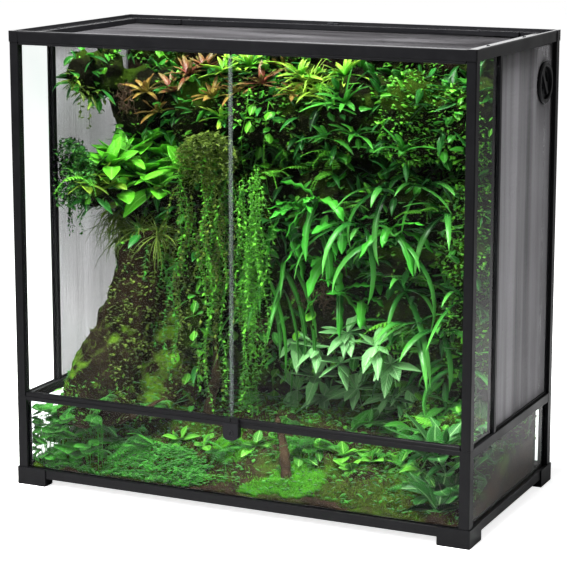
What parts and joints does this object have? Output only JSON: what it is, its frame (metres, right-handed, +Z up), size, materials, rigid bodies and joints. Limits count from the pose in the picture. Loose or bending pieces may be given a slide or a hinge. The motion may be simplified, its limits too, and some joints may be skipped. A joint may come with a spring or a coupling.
{
  "type": "terrarium cabinet",
  "caption": "Front-opening glass terrarium cabinet in a black frame, with hinged glass doors, a cam lock, mesh side and top panels, a cable port and a planted foam background",
  "frame": {"origin": "On the floor, at the middle of the overall footprint, which counts the lock's projection in front", "axes": "+X runs along the front to the viewer's right, +Y runs from the doors to the back, +Z is up"},
  "size_m": [0.9, 0.4566, 0.85],
  "materials": {
    "frame_black": "satin",
    "clear_glass": "polished",
    "wire_mesh": "satin",
    "seal_clear": "translucent",
    "lock_black": "matte",
    "steel": "brushed",
    "foam": "rough",
    "soil": "rough",
    "bark": "rough",
    "leaves": "satin"
  },
  "bodies": {
    "cabinet": {"foot_front_left": "frame_black", "lower_post_front_left": "frame_black", "upper_post_front_left": "frame_black", "corner_block_front_left": "frame_black", "foot_front_right": "frame_black", "lower_post_front_right": "frame_black", "upper_post_front_right": "frame_black", "corner_block_front_right": "frame_black", "foot_back_right": "frame_black", "lower_post_back_right": "frame_black", "upper_post_back_right": "frame_black", "corner_block_back_right": "frame_black", "foot_back_left": "frame_black", "lower_post_back_left": "frame_black", "upper_post_back_left": "frame_black", "corner_block_back_left": "frame_black", "bottom_rail_front": "frame_black", "mid_rail_front": "frame_black", "top_rail_front": "frame_black", "bottom_rail_right": "frame_black", "mid_rail_right": "frame_black", "top_rail_right": "frame_black", "bottom_rail_back": "frame_black", "mid_rail_back": "frame_black", "top_rail_back": "frame_black", "bottom_rail_left": "frame_black", "mid_rail_left": "frame_black", "top_rail_left": "frame_black", "side_divider_left": "frame_black", "side_divider_right": "frame_black", "lower_pane_front": "clear_glass", "lower_pane_right": "clear_glass", "lower_pane_back": "clear_glass", "lower_pane_left": "clear_glass", "upper_pane_back": "clear_glass", "side_pane_left": "clear_glass", "side_pane_right": "clear_glass", "base_pane": "clear_glass", "side_mesh_left": "wire_mesh", "side_mesh_right": "wire_mesh", "cable_port_ring": "frame_black", "lock_body": "lock_black", "background_wall": "foam", "soil_bed": "soil", "tree_trunk": "bark", "foliage": "leaves"},
    "left_door": {"left_door_bottom_strip": "frame_black", "left_door_top_strip": "frame_black", "left_door_pane": "clear_glass", "door_seal": "seal_clear"},
    "right_door": {"right_door_bottom_strip": "frame_black", "right_door_top_strip": "frame_black", "right_door_pane": "clear_glass"},
    "lock_cylinder": {"lock_barrel": "steel"},
    "bolt": {"lock_bolt": "steel"},
    "screen": {"screen_frame": "frame_black", "screen_mesh": "wire_mesh"},
    "front_latch": {"screen_latch_front": "lock_black"},
    "back_latch": {"screen_latch_back": "lock_black"},
    "port_gate": {"cable_port_gate": "frame_black"}
  },
  "joints": [
    {"name": "left_door_swing", "type": "hinge", "parent": "cabinet", "child": "left_door", "pos_m": [-0.4235, -0.2142, 0.5], "axis": [0, 0, -1], "range_deg": [0, 110]},
    {"name": "right_door_swing", "type": "hinge", "parent": "cabinet", "child": "right_door", "pos_m": [0.4235, -0.2142, 0.5], "axis": [0, 0, 1], "range_deg": [0, 110]},
    {"name": "lock_turn", "type": "hinge", "parent": "cabinet", "child": "lock_cylinder", "pos_m": [0, -0.2217, 0.1526], "axis": [0, -1, 0], "range_deg": [0, 90]},
    {"name": "bolt_rise", "type": "slide", "parent": "cabinet", "child": "bolt", "axis": [0, 0, 1], "range_m": [0, 0.0056]},
    {"name": "screen_lift", "type": "slide", "parent": "cabinet", "child": "screen", "axis": [0, 0, 1], "range_m": [0, 0.06]},
    {"name": "front_latch_turn", "type": "hinge", "parent": "screen", "child": "front_latch", "pos_m": [0, -0.2017, 0.845], "axis": [0, 0, -1], "range_deg": [0, 90]},
    {"name": "back_latch_turn", "type": "hinge", "parent": "screen", "child": "back_latch", "pos_m": [0, 0.2083, 0.845], "axis": [0, 0, 1], "range_deg": [0, 90]},
    {"name": "port_gate_turn", "type": "hinge", "parent": "cabinet", "child": "port_gate", "pos_m": [0.4395, 0.1583, 0.759], "axis": [1, 0, 0], "range_deg": [0, 90]}
  ],
  "couplings": [
    {"joint": "bolt_rise", "follows": "lock_turn", "m_per_rad": 0.0035014}
  ]
}
